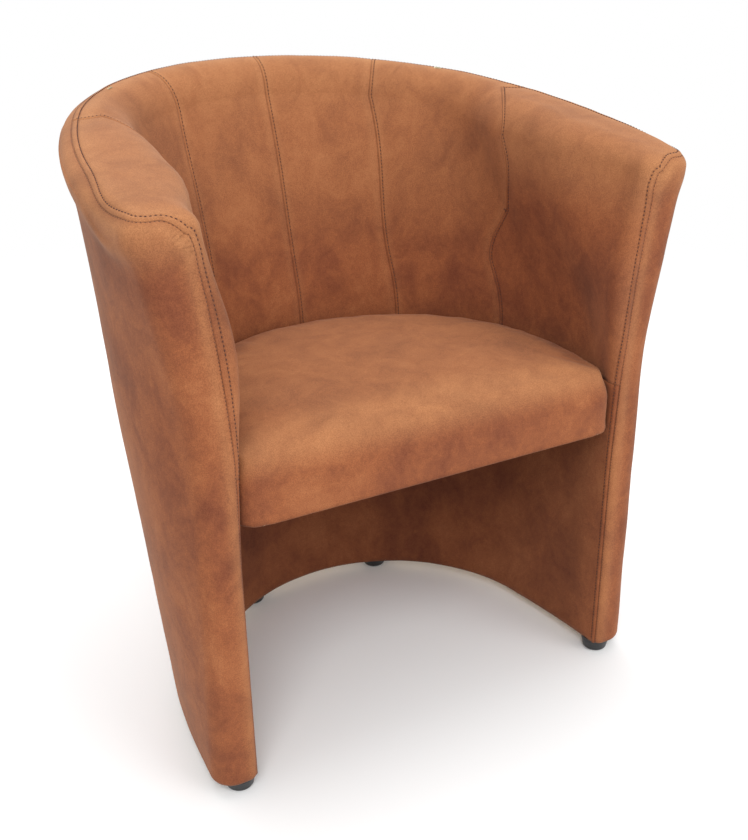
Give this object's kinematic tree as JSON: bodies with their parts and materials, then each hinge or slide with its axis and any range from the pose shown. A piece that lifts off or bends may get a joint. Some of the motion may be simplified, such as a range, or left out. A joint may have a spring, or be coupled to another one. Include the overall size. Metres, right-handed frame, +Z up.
{
  "type": "cocktail chair",
  "caption": "Upholstered tub chair with a horseshoe wall leaning out above a crowned box seat, channelled inner back, and small round floor glides.",
  "frame": {"origin": "on the floor, at the middle of the chair's footprint in X and Y", "axes": "+Z up, +Y to the chair's rear, +X to the sitter's left; left and right in the names are as seen from the front"},
  "size_m": [0.6994, 0.5319, 0.7865],
  "materials": {
    "suede": "mottled suede",
    "wadding": "loose fibre",
    "foam": "open-cell foam",
    "plywood": "raw birch ply",
    "hardboard": "raw hardboard",
    "felt": "needled felt",
    "dust_cloth": "non-woven cloth",
    "spring_steel": "oiled wire",
    "plated_steel": "zinc plated",
    "black_plastic": "moulded"
  },
  "bodies": {
    "root": {"outer_cover": "suede", "lower_lining": "suede", "left_arm_panel": "suede", "left_side_panel": "suede", "left_back_panel": "suede", "right_back_panel": "suede", "right_side_panel": "suede", "right_arm_panel": "suede", "seat_cover": "suede", "outer_wadding": "wadding", "back_foam": "foam", "front_foam_left": "foam", "front_foam_right": "foam", "seat_foam": "foam", "base_ring": "plywood", "seat_ring": "plywood", "top_rail": "plywood", "front_board_left": "plywood", "front_board_right": "plywood", "lower_side_post_left": "plywood", "lower_side_post_right": "plywood", "lower_rear_post_left": "plywood", "lower_rear_post_right": "plywood", "upper_side_post_left": "plywood", "upper_side_post_right": "plywood", "upper_rear_post_left": "plywood", "upper_rear_post_right": "plywood", "seat_front_rail": "plywood", "seat_rear_rail": "plywood", "seat_side_rail_left": "plywood", "seat_side_rail_right": "plywood", "lower_outer_board": "hardboard", "upper_outer_board": "hardboard", "lower_inner_board": "hardboard", "upper_inner_board": "hardboard", "spring_felt": "felt", "dust_cover": "dust_cloth", "seat_springs": "spring_steel", "spring_clips": "spring_steel", "seat_bolts": "plated_steel", "bolt_washers": "plated_steel", "tee_nuts": "plated_steel", "glide_screws": "plated_steel", "floor_glides": "black_plastic"}
  },
  "joints": []
}
